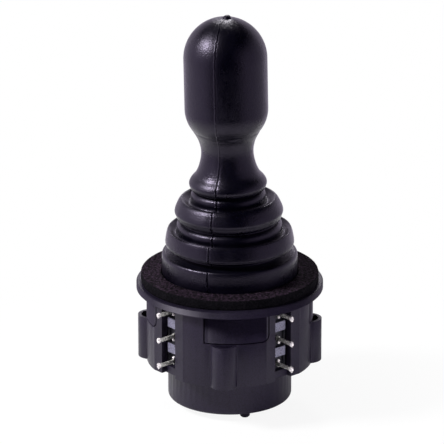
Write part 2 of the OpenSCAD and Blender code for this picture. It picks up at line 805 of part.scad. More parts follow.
module actuator_clip() {
    color(steel) translate([0, 0, actuator_bottom - slip - clip_t]) difference() {
        cylinder(r = shaft_r + 1.6, h = clip_t);
        translate([0, 0, -1]) cylinder(r = clip_groove_r + slip, h = 3);
        translate([0, -clip_groove_r * 0.85, -1]) cube([BIG, 2 * clip_groove_r * 0.85, 3]);
    }
}

// ---- Switches ----

rib_h = 2.9;
rib_out = 0.7;
well_h = terminal_pitch - rib_h;
rib_w = 4.6;
well_depth = 0.8;
terminal_root = 2;

// Case of a snap-action switch facing +X: a plunger bore inside, three terminals outside
module switch_case() {
    edge = 0.4;
    hole_r = 1.15;
    hole_pitch = 9.5;
    hole_x = face_r - 3;
    seam = 0.25;
    color(case_grey) difference() {
        union() {
            translate([switch_r, 0, switch_mid - switch_l / 2]) linear_extrude(switch_l)
                polygon([
                    [0, -switch_w / 2 + edge], [edge, -switch_w / 2],
                    [switch_t - edge, -switch_w / 2], [switch_t, -switch_w / 2 + edge],
                    [switch_t, switch_w / 2 - edge], [switch_t - edge, switch_w / 2],
                    [edge, switch_w / 2], [0, switch_w / 2 - edge]
                ]);
            // Barriers between the terminals
            for (s = [-1, 1])
                translate([face_r - EPS, -rib_w / 2, switch_mid + s * terminal_pitch / 2 - rib_h / 2])
                    cube([rib_out, rib_w, rib_h]);
        }
        // Wells between the barriers, and slots for the terminals' roots
        for (s = [-1 : 1]) translate([face_r, 0, switch_mid + s * terminal_pitch]) {
            cube([2 * well_depth, rib_w, well_h], center = true);
            cube([2 * (terminal_root + slip), terminal_t + 2 * slip, terminal_w + 2 * slip], center = true);
        }
        // Bore of the plunger, deep enough for its travel
        translate([switch_r - EPS, 0, plunger_z]) rotate([0, 90, 0])
            cylinder(r = plunger_d / 2 + running, h = 2.2 + plunger_travel + 2 * slip);
        // Fixing holes through the case, and the seam between case and cover
        for (s = [-1, 1])
            translate([hole_x, 0, switch_mid + s * hole_pitch / 2]) rotate([90, 0, 0])
                cylinder(r = hole_r, h = switch_w + 1, center = true);
        for (x = [switch_r - EPS, face_r - seam + EPS])
            translate([x, switch_w / 2 - 1.6, switch_mid - switch_l / 2 - EPS])
                cube([seam, seam, switch_l + 2 * EPS]);
    }
}

module switch_terminals() {
    length = terminal_root + terminal_out;
    head_r = terminal_w / 2;
    shoulder = terminal_root + 0.5;
    color(tinned) for (s = [-1 : 1])
        translate([face_r - terminal_root, terminal_t / 2, switch_mid + s * terminal_pitch])
            rotate([90, 0, 0]) linear_extrude(terminal_t) {
                translate([0, -terminal_w / 2]) square([shoulder, terminal_w]);
                translate([shoulder - EPS, -stem_w / 2]) square([length - head_r - shoulder, stem_w]);
                translate([length - head_r, 0]) circle(r = head_r);
            }
}

module plunger() {
    dome = 0.4;
    color(white_plastic) translate([plunger_tip_r, 0, plunger_z]) rotate([0, 90, 0]) {
        cylinder(r1 = plunger_d / 2 - dome, r2 = plunger_d / 2, h = dome);
        translate([0, 0, dome]) cylinder(r = plunger_d / 2, h = plunger_out + 2.2 - dome);
    }
}

grip();
grip_insert();
grip_pin();
gaiter_upper();
gaiter_lower();
gaiter_collar();
panel_gasket();
upper_housing();
lower_housing();
base_cap();
base_screws();
gate_plate();
lever_shaft();
pivot_hub();
lever_pin();
lever_bushes();
gimbal_ring();
gimbal_pins();
gimbal_bushes();
return_spring();
actuator();
actuator_clip();
switch_case();  // switch_case_right
rotate(90) switch_case();  // switch_case_back
rotate(180) switch_case();  // switch_case_left
rotate(270) switch_case();  // switch_case_front
switch_terminals();  // switch_terminals_right
rotate(90) switch_terminals();  // switch_terminals_back
rotate(180) switch_terminals();  // switch_terminals_left
rotate(270) switch_terminals();  // switch_terminals_front
plunger();  // plunger_right
rotate(90) plunger();  // plunger_back
rotate(180) plunger();  // plunger_left
rotate(270) plunger();  // plunger_front
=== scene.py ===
# %% [markdown]
# # A panel joystick with a rubber gaiter
# The CAD part already holds every piece at its real size. This lesson dresses it: it gives the
# rubber, the foam, the plastic and the metal their surfaces, and it replaces the pieces whose
# looks need more than a machined solid can give, such as the bellows and the soldered terminals.
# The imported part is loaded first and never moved, so that everything added here can take its
# place and size from it.

import math

import bmesh
import bpy
from mathutils import Matrix, Vector, noise


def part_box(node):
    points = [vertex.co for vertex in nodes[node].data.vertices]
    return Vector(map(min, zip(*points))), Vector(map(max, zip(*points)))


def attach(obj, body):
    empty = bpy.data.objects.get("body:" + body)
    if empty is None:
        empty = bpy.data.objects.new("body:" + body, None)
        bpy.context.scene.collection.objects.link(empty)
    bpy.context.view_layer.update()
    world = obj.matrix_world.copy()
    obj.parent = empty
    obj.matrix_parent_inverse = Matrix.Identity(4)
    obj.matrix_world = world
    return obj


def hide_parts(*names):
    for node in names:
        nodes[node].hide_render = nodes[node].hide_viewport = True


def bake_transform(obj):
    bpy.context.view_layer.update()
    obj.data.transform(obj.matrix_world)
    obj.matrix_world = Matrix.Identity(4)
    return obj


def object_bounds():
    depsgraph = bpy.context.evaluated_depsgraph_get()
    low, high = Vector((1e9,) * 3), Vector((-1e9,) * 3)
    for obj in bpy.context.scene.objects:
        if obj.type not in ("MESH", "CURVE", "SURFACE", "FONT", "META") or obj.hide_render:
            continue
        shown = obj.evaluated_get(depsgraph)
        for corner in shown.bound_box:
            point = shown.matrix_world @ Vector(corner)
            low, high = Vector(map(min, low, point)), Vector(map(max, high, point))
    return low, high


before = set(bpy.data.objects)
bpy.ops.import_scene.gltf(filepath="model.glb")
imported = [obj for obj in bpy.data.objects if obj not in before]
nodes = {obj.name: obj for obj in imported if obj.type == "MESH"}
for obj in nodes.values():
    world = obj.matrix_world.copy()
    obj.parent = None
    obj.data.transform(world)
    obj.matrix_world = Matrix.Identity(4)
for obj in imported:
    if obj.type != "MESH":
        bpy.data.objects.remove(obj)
scene = bpy.context.scene
MM = 0.001
SIDES = ["right", "back", "left", "front"]
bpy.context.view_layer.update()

# %% [markdown]
# ## Camera
# A long lens from well back keeps the verticals nearly parallel, so the barrel doesn't seem to
# taper. The camera stands to the front right and a little above, so that it sees the top of the
# foam ring and two of the four switches.

# %% Camera
AZIMUTH = math.radians(49)
ELEVATION = math.radians(19.5)
DISTANCE = 1.2
AIM = Vector((0, 0, 20 * MM))
FRAME_WIDTH = 133.5 * MM  # how much of the object's plane the frame's width shows
SIDE_SHIFT = -0.0174  # the lever's axis stands a little right of the frame's middle
RISE_SHIFT = -0.0327  # and the object a little below it
NEAREST, FARTHEST = 0.05, 20.0

view_right = Vector((math.cos(AZIMUTH), math.sin(AZIMUTH), 0))
view_front = Vector((math.sin(AZIMUTH), -math.cos(AZIMUTH), 0))
back = Vector((math.sin(AZIMUTH) * math.cos(ELEVATION), -math.cos(AZIMUTH) * math.cos(ELEVATION),
               math.sin(ELEVATION)))
camera_data = bpy.data.cameras.new("camera")
camera_data.lens = camera_data.sensor_width * DISTANCE / FRAME_WIDTH
camera_data.shift_x = SIDE_SHIFT
camera_data.shift_y = RISE_SHIFT
camera = bpy.data.objects.new("camera", camera_data)
camera.location = AIM + back * DISTANCE
camera.rotation_mode = "QUATERNION"
camera.rotation_quaternion = (-back).to_track_quat("-Z", "Y")
camera_data.clip_start, camera_data.clip_end = NEAREST, FARTHEST
scene.collection.objects.link(camera)
scene.camera = camera
print(f"lens {camera_data.lens:.0f} mm")

# %% [markdown]
# ## Small helpers for node trees
# Shader trees and Geometry Nodes trees are built the same way, so a few short functions serve
# both. The first adds a node and sets or links its inputs, and the others are the steps that
# return most: a range, a sum, a vector and a mix.

# %% Node helpers
def add(tree, kind, inputs=None, **settings):
    """Adds a node, sets its properties and the values of its inputs, by name or by number."""
    made = tree.nodes.new(kind)
    for key, value in settings.items():
        setattr(made, key, value)
    for key, value in (inputs or {}).items():
        if isinstance(value, bpy.types.NodeSocket):
            tree.links.new(value, made.inputs[key])
        else:
            made.inputs[key].default_value = value
    return made


def ramp(tree, value, low, high, start=0.0, end=1.0):
    """Maps value from low..high to start..end, clamped."""
    return add(tree, "ShaderNodeMapRange", {"Value": value, "From Min": low, "From Max": high,
                                            "To Min": start, "To Max": end}).outputs["Result"]


def maths(tree, operation, a, b):
    """One number worked out from two."""
    return add(tree, "ShaderNodeMath", {0: a, 1: b}, operation=operation).outputs[0]


def vector(tree, x=0.0, y=0.0, z=0.0):
    """A vector put together from three numbers."""
    return add(tree, "ShaderNodeCombineXYZ", {"X": x, "Y": y, "Z": z}).outputs[0]


def mix(tree, factor, a, b):
    """Colour a, which gives way to b as the factor rises to 1."""
    return add(tree, "ShaderNodeMix", {"Factor": factor, "A": a, "B": b},
               data_type="RGBA").outputs["Result"]


def group(name, inputs, outputs):
    """Starts a shader node group with named inputs, as name: (socket kind, value)."""
    tree = bpy.data.node_groups.new(name, "ShaderNodeTree")
    for label, (kind, value) in inputs.items():
        socket = tree.interface.new_socket(label, in_out="INPUT", socket_type=kind)
        if value is not None:
            socket.default_value = value
    for label, kind in outputs.items():
        tree.interface.new_socket(label, in_out="OUTPUT", socket_type=kind)
    return tree, tree.nodes.new("NodeGroupInput").outputs, tree.nodes.new("NodeGroupOutput").inputs


FLOAT = "NodeSocketFloat"
VECTOR = "NodeSocketVector"
PER_METRE = 1000.0  # millimetres in a metre

# %% [markdown]
# ## Shared surface effects
# Three effects return on almost every piece. Moulded rubber and plastic copy the fine texture of
# the tool they were made in, handling leaves soft patches that shine a little more or less, and
# dust settles as fine specks on faces that look up. Each is one node group with its own inputs,
# so that a material only says how coarse or how strong it wants the effect.

# %% Group: moulded grain
moulded_grain, got, give = group(
    "moulded grain",
    {"Vector": (VECTOR, None), "Cell Size mm": (FLOAT, 0.4), "Contrast": (FLOAT, 1.0)},
    {"Height": FLOAT, "Pits": FLOAT})
cells_per_metre = maths(moulded_grain, "DIVIDE", PER_METRE, got["Cell Size mm"])
wander = add(moulded_grain, "ShaderNodeTexNoise",
             {"Vector": got["Vector"], "Scale": cells_per_metre, "Detail": 3.0, "Roughness": 0.6})
cells = add(moulded_grain, "ShaderNodeTexVoronoi",
            {"Vector": got["Vector"], "Scale": cells_per_metre, "Randomness": 1.0},
            feature="SMOOTH_F1")
lumps = ramp(moulded_grain, cells.outputs["Distance"], 0.1, 0.75, 1.0, 0.0)
mixed = maths(moulded_grain, "MULTIPLY", lumps, wander.outputs["Fac"])
moulded_grain.links.new(maths(moulded_grain, "MULTIPLY", mixed, got["Contrast"]), give["Height"])
moulded_grain.links.new(ramp(moulded_grain, mixed, 0.05, 0.35, 1.0, 0.0), give["Pits"])

# %% Group: handling patches
handling, got, give = group(
    "handling patches",
    {"Vector": (VECTOR, None), "Patch Size mm": (FLOAT, 9.0), "Streak": (FLOAT, 1.0)},
    {"Mask": FLOAT})
stretched = add(handling, "ShaderNodeVectorMath", {0: got["Vector"], 1: (1.0, 1.0, 0.6)},
                operation="MULTIPLY").outputs[0]
patches_per_metre = maths(handling, "DIVIDE", PER_METRE, got["Patch Size mm"])
patches = add(handling, "ShaderNodeTexNoise",
              {"Vector": stretched, "Scale": patches_per_metre, "Detail": 4.0, "Roughness": 0.55,
               "Distortion": got["Streak"]})
handling.links.new(ramp(handling, patches.outputs["Fac"], 0.35, 0.68), give["Mask"])

# %% Group: settled dust
settled_dust, got, give = group(
    "settled dust",
    {"Vector": (VECTOR, None), "Speck Size mm": (FLOAT, 0.25), "Amount": (FLOAT, 0.3)},
    {"Mask": FLOAT})
specks_per_metre = maths(settled_dust, "DIVIDE", PER_METRE, got["Speck Size mm"])
specks = add(settled_dust, "ShaderNodeTexNoise",
             {"Vector": got["Vector"], "Scale": specks_per_metre, "Detail": 2.0})
facing = add(settled_dust, "ShaderNodeNewGeometry").outputs["Normal"]
upward = ramp(settled_dust, add(settled_dust, "ShaderNodeSeparateXYZ", {0: facing}).outputs["Z"],
              0.2, 1.0)
sparse = ramp(settled_dust, specks.outputs["Fac"], 0.56, 0.72)
lying = maths(settled_dust, "MULTIPLY", upward, sparse)
settled_dust.links.new(maths(settled_dust, "MULTIPLY", lying, got["Amount"]), give["Mask"])
print("groups:", [g.name for g in bpy.data.node_groups])

# %% [markdown]
# ## Materials
# All the materials share one layout: object coordinates feed the groups, the groups drive the
# colour, the roughness and a bump, and the Principled shader stays in the material itself.

# %% Material builder
DUST_COLOUR = (0.2, 0.19, 0.18, 1)
PIT_SHADE = 0.45  # how dark the grain's pits are beside the plain colour


def material(name, colour, second, roughness, grain_mm, grain_depth_mm, patch_mm=9.0, dust=0.2,
             roughness_swing=0.08, **constants):
    """A surface with grain, patches of a second colour and dust; constants go to the shader."""
    made = bpy.data.materials.new(name)
    made.use_nodes = True
    tree = made.node_tree
    shader = tree.nodes["Principled BSDF"]
    for key, value in constants.items():
        shader.inputs[key.replace("_", " ")].default_value = value
    place = add(tree, "ShaderNodeTexCoord").outputs["Object"]
    grain = add(tree, "ShaderNodeGroup", node_tree=moulded_grain)
    patches = add(tree, "ShaderNodeGroup", node_tree=handling)
    dusting = add(tree, "ShaderNodeGroup", node_tree=settled_dust)
    for user in (grain, patches, dusting):
        tree.links.new(place, user.inputs["Vector"])
    grain.inputs["Cell Size mm"].default_value = grain_mm
    patches.inputs["Patch Size mm"].default_value = patch_mm
    dusting.inputs["Amount"].default_value = dust
    tone = mix(tree, patches.outputs["Mask"], (*colour, 1), (*second, 1))
    pitted = mix(tree, grain.outputs["Pits"], tone, (*(PIT_SHADE * c for c in colour), 1))
    dusty = mix(tree, dusting.outputs["Mask"], pitted, DUST_COLOUR)
    tree.links.new(dusty, shader.inputs["Base Color"])
    shine = ramp(tree, patches.outputs["Mask"], 0, 1, roughness - roughness_swing,
                 roughness + roughness_swing)
    tree.links.new(shine, shader.inputs["Roughness"])
    bump = add(tree, "ShaderNodeBump", {"Height": grain.outputs["Height"], "Strength": 1.0,
                                        "Distance": grain_depth_mm * MM})
    tree.links.new(bump.outputs["Normal"], shader.inputs["Normal"])
    return made

# %% [markdown]
# The rubber is a satin black with a fine leathery grain, which breaks up its highlights. The
# housing is a dry matt plastic of nearly the same black. The switches are a grey-lilac plastic,
# their terminals are bright tin, and the solder left on the tips is duller and a little rosy.

# %% The finishes
rubber = material(
    "grip rubber", (0.0005, 0.0004, 0.0026), (0.0009, 0.0008, 0.004), roughness=0.33,
    grain_mm=0.34, grain_depth_mm=0.06, dust=0.04, Specular_IOR_Level=0.38,
    Specular_Tint=(0.84, 0.74, 1.0, 1))
foam = material(
    "gasket foam", (0.0003, 0.0002, 0.0006), (0.05, 0.03, 0.052), roughness=0.95, grain_mm=0.6,
    grain_depth_mm=0.7, patch_mm=0.85, dust=0.05, roughness_swing=0.04, Specular_IOR_Level=0.06)
# A darker copy of the foam for the ring's outer side: painted shade.
shaded_foam_edge = material(
    "gasket foam edge in painted shade", (0.003, 0.0028, 0.004), (0.006, 0.005, 0.007), roughness=0.97,
    grain_mm=0.4, grain_depth_mm=0.3, patch_mm=2.0, dust=0.0, roughness_swing=0.02,
    Specular_IOR_Level=0.05)
housing_plastic = material(
    "housing plastic", (0.009, 0.0065, 0.017), (0.012, 0.009, 0.021), roughness=0.46,
    grain_mm=0.3, grain_depth_mm=0.008, patch_mm=14.0, dust=0.1, Specular_IOR_Level=0.3,
    Specular_Tint=(0.93, 0.86, 1.0, 1))
case_plastic = material(
    "switch case plastic", (0.165, 0.157, 0.225), (0.195, 0.187, 0.262), roughness=0.5,
    grain_mm=0.3, grain_depth_mm=0.006, patch_mm=6.0, dust=0.05)
acetal = material(
    "white acetal", (0.72, 0.71, 0.66), (0.76, 0.75, 0.7), roughness=0.35, grain_mm=0.5,
    grain_depth_mm=0.004, dust=0.0)
tin = material(
    "dipped tin", (0.8, 0.78, 0.74), (0.9, 0.88, 0.84), roughness=0.32, grain_mm=0.6,
    grain_depth_mm=0.02, patch_mm=1.5, dust=0.0, roughness_swing=0.12, Metallic=0.55)
solder = material(
    "solder", (0.97, 0.9, 0.92), (0.98, 0.94, 0.94), roughness=0.4, grain_mm=0.5,
    grain_depth_mm=0.02, patch_mm=1.0, dust=0.0, roughness_swing=0.1, Metallic=0.1)
steel = material(
    "ground steel", (0.5, 0.5, 0.52), (0.58, 0.58, 0.6), roughness=0.34, grain_mm=0.25,
    grain_depth_mm=0.004, patch_mm=3.0, dust=0.0, Metallic=1.0)
bronze = material(
    "turned bronze", (0.62, 0.43, 0.2), (0.7, 0.5, 0.25), roughness=0.32, grain_mm=0.3,
    grain_depth_mm=0.003, patch_mm=2.0, dust=0.0, Metallic=1.0)
print("materials:", [m.name for m in bpy.data.materials])

# %% [markdown]
# The switches sit deep in their windows, where little light comes in, and their plastic gets
# painted shade there. The barriers, which stand out of the case, keep their plain colour, and the
# rest is darkened by how far out it lies and not by how it is lit.

# %% Paint shade on the switches' deeper faces
RIB_OUT = 0.7 * MM  # how far a switch's barriers stand out of its case
SHADE_EDGE = 0.1 * MM  # half the width over which the plain plastic turns to painted shade
# how dark the painted shade makes the plastic
DEEP_SHADE = 0.12


def paint_shade_deep(made, depth_from, share):
    """Paints shade on what lies nearer to the lever than the given distance along X or Y."""
    tree = made.node_tree
    shader = tree.nodes["Principled BSDF"]
    tone = shader.inputs["Base Color"].links[0].from_socket
    out = add(tree, "ShaderNodeVectorMath", {0: add(tree, "ShaderNodeTexCoord").outputs["Object"]},
              operation="ABSOLUTE").outputs[0]
    along = add(tree, "ShaderNodeSeparateXYZ", {0: out}).outputs
    reach = maths(tree, "MAXIMUM", along["X"], along["Y"])
    kept = ramp(tree, reach, depth_from - SHADE_EDGE, depth_from + SHADE_EDGE, share, 1.0)
    tree.links.new(mix(tree, kept, (0, 0, 0, 1), tone), shader.inputs["Base Color"])


# Painted shade: the switch cases go dark everywhere inside their barriers' outer faces.
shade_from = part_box("switch_case_right")[1].x - RIB_OUT / 2
paint_shade_deep(case_plastic, shade_from, DEEP_SHADE)
print(f"switches shade-painted inside {shade_from / MM:.2f} mm")

# %% Helpers that hand a finish to a piece
def finish_node(name, finish):
    """Gives a CAD node its finish."""
    piece = nodes[name]
    piece.data.materials.clear()
    piece.data.materials.append(finish)
    return piece


def mesh_piece(name, vertices, faces, finish):
    """A new mesh object with smooth faces."""
    mesh = bpy.data.meshes.new(name)
    mesh.from_pydata(vertices, [], faces)
    mesh.materials.append(finish)
    for face in mesh.polygons:
        face.use_smooth = True
    piece = bpy.data.objects.new(name, mesh)
    scene.collection.objects.link(piece)
    return piece

# %% [markdown]
# ## The rubber moulding
# Grip, bellows and collar are one piece of rubber, so one outline runs from the foam ring to the
# top of the grip. Each fold of the bellows is the same curve at another size: a drafted outer
# face, a sharp crest, a narrow groove and a smaller ring. The few points of each fold are
# joined by a smooth curve, which is then turned round the lever's axis.

# %% Levels and radii, from the CAD nodes
def top(name):
    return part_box(name)[1].z / MM


def bottom(name):
    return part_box(name)[0].z / MM


def radius(name):
    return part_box(name)[1].x / MM


WALL = 1.3  # the bellows' rubber
FOOT_IN = 0.3  # the collar steps in by this much below the foam's top face
FOOT_DEPTH = 2.95
FOLD_H = 4.1  # height of a fold's outer face
RING_H = 2.75  # height of the small ring above a fold
LOWER_UNDER, UPPER_UNDER, FLARE_UNDER = 0.95, 2.3, 1.9  # heights of the tapered undersides
LOWER_CLEAR = 1.1  # from the first fold's underside down to its pinch
COLLAR_GAP = 2.95  # from the first fold's outer face down to the collar's rim
FLARE_CLEAR = 0.1
split_low, split_mid, split_top = bottom("gaiter_lower"), bottom("gaiter_upper"), bottom("grip")
lower_z = split_low + LOWER_UNDER + LOWER_CLEAR
collar_h = lower_z - COLLAR_GAP
upper_z = 2 * split_mid - lower_z - FOLD_H - RING_H + UPPER_UNDER
flare_z = split_top + FLARE_UNDER + FLARE_CLEAR
collar_r, lower_r, upper_r = radius("gaiter_collar"), radius("gaiter_lower"), radius("gaiter_upper")
grip_r = radius("grip")
flare_r, neck_r, neck_z = 11.7, 7.85, 38.2
bulb_z, shoulder_r, SHOULDER_TURN = 51.5, 10.5, 32
NUB_H = 0.7
dome_z = top("grip") - NUB_H - grip_r
print(f"folds at {lower_z:.2f} and {upper_z:.2f} mm, flare at {flare_z:.2f} mm")
print(f"dome from {dome_z:.2f} mm")

# %% [markdown]
# Each list of pairs says how a stretch of the outline runs: how far across it has come, and how
# far up, as shares of the stretch. So the curve keeps its character when a size changes.

# %% Curves that the outline is made from
def between(a, b, t):
    return a + (b - a) * t


def fold(r, z, under, crest_r, ring_r, pinch_r):
    """A fold of the bellows, from its tapered underside to the pinch above its ring."""
    crest = z + FOLD_H
    face = [(0.1, 0.25), (0.28, 0.5), (0.5, 0.75), (0.75, 0.93)]
    groove = [(0.25, -0.11), (0.62, -0.4), (0.9, -0.45)]
    ring = [(0.1, -0.2), (0, 0.2), (0.15, 0.58), (0.7, 0.82)]
    return ([(r - 1.5, z - under), (r - 0.3 * under - 0.1, z - 0.95 * under),
             (r - 0.13 * under, z - 0.42 * under), (r, z)]
            + [(between(r, crest_r, t), z + s * FOLD_H) for t, s in face] + [(crest_r, crest)]
            + [(between(crest_r, ring_r, t), crest + s * RING_H) for t, s in groove]
            + [(ring_r - inwards, crest + s * RING_H) for inwards, s in ring]
            + [(pinch_r, crest + 0.95 * RING_H)])


def arc(cx, cz, r, start, end, steps):
    turns = [math.radians(between(start, end, i / steps)) for i in range(steps + 1)]
    return [(cx + r * math.cos(a), cz + r * math.sin(a)) for a in turns]


def smooth(points, steps):
    """A Catmull-Rom curve through the points."""
    made = []
    for i in range(len(points) - 1):
        a, b = Vector(points[max(i - 1, 0)]), Vector(points[i])
        c, d = Vector(points[i + 1]), Vector(points[min(i + 2, len(points) - 1)])
        for k in range(steps):
            t = k / steps
            made.append(0.5 * (2 * b + (c - a) * t + (2 * a - 5 * b + 4 * c - d) * t * t
                               + (3 * b - a - 3 * c + d) * t * t * t))
    return made + [Vector(points[-1])]


# %% The outline, from the foot to the top of the dome
SMOOTH_STEPS = 7  # points that the smooth curve puts between two of its own
SIDE_STEPS = 30
DOME_STEPS, DOME_TURN = 60, 84  # the dome's last few degrees belong to the nub
foot = [(collar_r - FOOT_IN, -FOOT_DEPTH), (collar_r - FOOT_IN, -0.5), (collar_r - 0.25, -0.3),
        (collar_r, -0.1)]
collar_rim = [(0, 2.6), (0, 1.6), (0.1, 0.8), (0.4, 0.35), (0.9, 0.2), (2, 0.2)]  # in and down
collar_points = ([(collar_r, 1.5)]
                 + [(collar_r - inwards, collar_h - down) for inwards, down in collar_rim]
                 + [(lower_r - 2.6, collar_h), (lower_r - 3.3, between(collar_h, split_low, 0.7)),
                    (lower_r - 2.6, lower_z - 1.4 * LOWER_UNDER)])
flare_rise = neck_z - flare_z
flare_curve = [(0.05, 0.07), (0.2, 0.16), (0.44, 0.26), (0.62, 0.37), (0.81, 0.55), (0.96, 0.79)]
neck_rise = bulb_z - shoulder_r * math.sin(math.radians(SHOULDER_TURN)) - neck_z
neck_curve = [(0, 0), (0.25, 0.25), (0.95, 0.53), (2, 0.77)]
flare_under = [(1.3, 1), (0.6, 0.9), (0.15, 0.42), (0, 0)]
flare_points = ([(flare_r - inwards, flare_z - s * FLARE_UNDER) for inwards, s in flare_under]
                + [(between(flare_r, neck_r, t), flare_z + s * flare_rise) for t, s in flare_curve]
                + [(neck_r + out, neck_z + s * neck_rise) for out, s in neck_curve])
outline = [Vector(p) for p in foot] + smooth(
    collar_points
    + fold(lower_r, lower_z, LOWER_UNDER, lower_r - 1, lower_r - 3.5, lower_r - 5)
    + fold(upper_r, upper_z, UPPER_UNDER, upper_r - 2.3, flare_r - 0.45, flare_r - 1.9)
    + flare_points
    + arc(grip_r - shoulder_r, bulb_z, shoulder_r, -SHOULDER_TURN, 0, 10), SMOOTH_STEPS)
outline += [Vector((grip_r, between(bulb_z, dome_z, i / SIDE_STEPS))) for i in range(1, SIDE_STEPS)]
outline += [Vector(p) for p in arc(0, dome_z, grip_r, 0, DOME_TURN, DOME_STEPS)]
print(f"outline of {len(outline)} points")

# %% [markdown]
# The mould's two halves leave a parting line down both sides. It is a low ridge with a small
# step beside it, and it wanders where the halves didn't meet quite true. The turning angles are
# packed close together there, so that the ridge is real geometry and not a bump.

# %% Turning angles and the parting line
PARTING = -61.0  # where the parting line stands, in degrees round the axis
PARTING_TWIST = 4.5  # how far the grip's stretch of it is turned from the bellows'
RIDGE = 0.24  # height of the flash along the line, in mm
STEP = 0.08  # how far the two halves are out of line
WANDER = 0.22  # how far the line strays to either side
RIDGE_WIDTH, GROOVE_WIDTH = 0.16, 0.14
GROOVE_AWAY = 0.34  # from the ridge to the torn groove beside it
STEP_WIDTH, STEP_FADE = 0.08, 2.4
ROUND_STEPS = 150
NEAR_PARTING = [-2.4, -1.9, -1.5, -1.15, -0.85, -0.6, -0.38, -0.18, 0,
                0.18, 0.38, 0.6, 0.85, 1.15, 1.5, 1.9, 2.4]
CLEAR = 2.9  # no regular angle comes nearer to the line than this


def from_parting(angle):
    """Degrees from the nearer of the two parting lines."""
    return (angle - PARTING + 90) % 180 - 90


angles = [360 * i / ROUND_STEPS for i in range(ROUND_STEPS)]
angles = [a for a in angles if abs(from_parting(a)) > CLEAR]
angles += [(PARTING + turn + near) % 360 for turn in (0, 180) for near in NEAR_PARTING]
angles.sort()
print(f"{len(angles)} turning angles")


# %% Height of the parting line
def ease(level, low, high):
    """Rises smoothly from 0 at low to 1 at high."""
    t = min(max((level - low) / (high - low), 0), 1)
    return t * t * (3 - 2 * t)


def parting_lift(angle, r, level, side):
    """How far the rubber stands proud of its outline beside the parting line, in mm."""
    torn = 1 - ease(level, split_top, neck_z)
    wobble = (0.7 * noise.noise(Vector((side, 0, 0.8 * level)))
              + (0.4 + 0.9 * torn) * noise.noise(Vector((side, 5, 3.1 * level))))
    away = math.radians(from_parting(angle)) * r - WANDER * wobble
    height = RIDGE * max(0.15, 0.7 + noise.noise(Vector((side, 9, 1.9 * level))))
    ridge = height * math.exp(-(away / RIDGE_WIDTH) ** 2)
    groove = (0.5 + 2 * torn) * STEP * math.exp(-((away - GROOVE_AWAY) / GROOVE_WIDTH) ** 2)
    step = STEP / (1 + math.exp(-away / STEP_WIDTH)) * math.exp(-(away / STEP_FADE) ** 2)
    return ridge - groove - step


print(f"ridge {parting_lift(PARTING, neck_r, neck_z, 0):.2f} mm high at the neck")

# %% [markdown]
# At rest the lever has a little play, and the rubber leans about a degree to one side. The lean
# starts at the collar and is complete at the flare, so that the bellows take it up evenly.

# %% Place a point of the moulding
LEAN = math.radians(1.15)
PIVOT = Vector((0, 0, 2))
NUB_SHIFT = 0.9  # the moulding nub stands this far beside the dome's middle
NUB_BLEND = 4.5  # radius over which the dome's mesh gives way to it
CREASE_ROUND = 1.7  # how quickly the creases change round the neck
CREASES = ((44.9, 0.35, 0.16), (43.9, 0.45, 0.1))  # level, spread and depth of each


def crease(angle, z):
    """Depth of the short, wavy folds that handling leaves where the neck meets the bulb, in mm."""
    turn = math.radians(angle)
    round_it = Vector((CREASE_ROUND * math.cos(turn), CREASE_ROUND * math.sin(turn), 0))
    depth = 0.0
    for level, spread, deepest in CREASES:
        wander = 0.7 * noise.noise(round_it * 1.6 + Vector((0, 0, level)))
        part = min(max(0.5 + 1.6 * noise.noise(round_it + Vector((level, 0, 3))), 0), 1)
        depth += deepest * part * math.exp(-((z - level - wander) / spread) ** 2)
    return depth


def moulding_point(r, z, angle):
    """A point of the moulding in metres, twisted, leaned and with its nub beside the middle."""
    turn = math.radians(angle + PARTING_TWIST * ease(z, split_top, bulb_z))
    here = Vector((r * math.cos(turn), r * math.sin(turn), z))
    if z > dome_z:
        here += view_right * NUB_SHIFT * (1 - ease(r, 0, NUB_BLEND))
    turned_by = Matrix.Rotation(LEAN * ease(z, split_low, split_top), 3, view_front)
    return (PIVOT + turned_by @ (here - PIVOT)) * MM


print("top of the grip at", [round(v / MM, 2) for v in moulding_point(0, dome_z + grip_r, 0)], "mm")


# %% Turn a profile round the axis
def turned(name, profile, closed, finish):
    """Turns a profile of (radius, height, is outer face) round the axis."""
    vertices, faces = [], []
    count = len(angles)
    for r, z, outer in profile:
        for a in angles:
            side = 0 if math.cos(math.radians(a - PARTING)) > 0 else 1
            lift = parting_lift(a, r, z, side) - crease(a, z) if outer else 0
            vertices.append(moulding_point(r + lift, z, a))
    rings = len(profile)
    for i in range(rings if closed else rings - 1):
        j = (i + 1) % rings
        for k in range(count):
            n = (k + 1) % count
            faces.append((i * count + k, i * count + n, j * count + n, j * count + k))
    if not closed:
        for ring, flip in ((0, True), (rings - 1, False)):
            pole = len(vertices)
            vertices.append(moulding_point(0, profile[ring][1], 0))
            for k in range(count):
                n = (k + 1) % count
                edge = (ring * count + k, ring * count + n)
                faces.append((*(reversed(edge) if flip else edge), pole))
    return mesh_piece(name, vertices, faces, finish)


# %% [markdown]
# The bellows bend when the lever leans, so the moulding is cut into four pieces at its pinches,
# where no cut shows. The collar stays with the housing, the grip goes with the lever, and the
# two folds lie between them. Every band is a closed skin: its outer face comes from the outline,
# and its inner face lies one wall further in.

# %% Cut the outline into bands
def cut(low, high):
    """The part of the outline between two levels, with points exactly on both."""
    def crossing(level):
        for i in range(len(outline) - 1):
            if outline[i].y <= level < outline[i + 1].y:
                last = i
        a, b = outline[last], outline[last + 1]
        return last, a.lerp(b, (level - a.y) / (b.y - a.y))
    first, start = (0, outline[0]) if low is None else crossing(low)
    last, end = (len(outline) - 1, None) if high is None else crossing(high)
    return [start] + outline[first + 1:last + 1] + ([end] if end else [])


def inner_face(band, wall):
    """The band's points moved inwards by the wall, across the outline's own direction."""
    made = []
    for i, p in enumerate(band):
        ahead, behind = band[min(i + 3, len(band) - 1)], band[max(i - 3, 0)]
        along = (ahead - behind).normalized()
        made.append(Vector((p.x - wall * along.y, p.y + wall * along.x)))
    return made


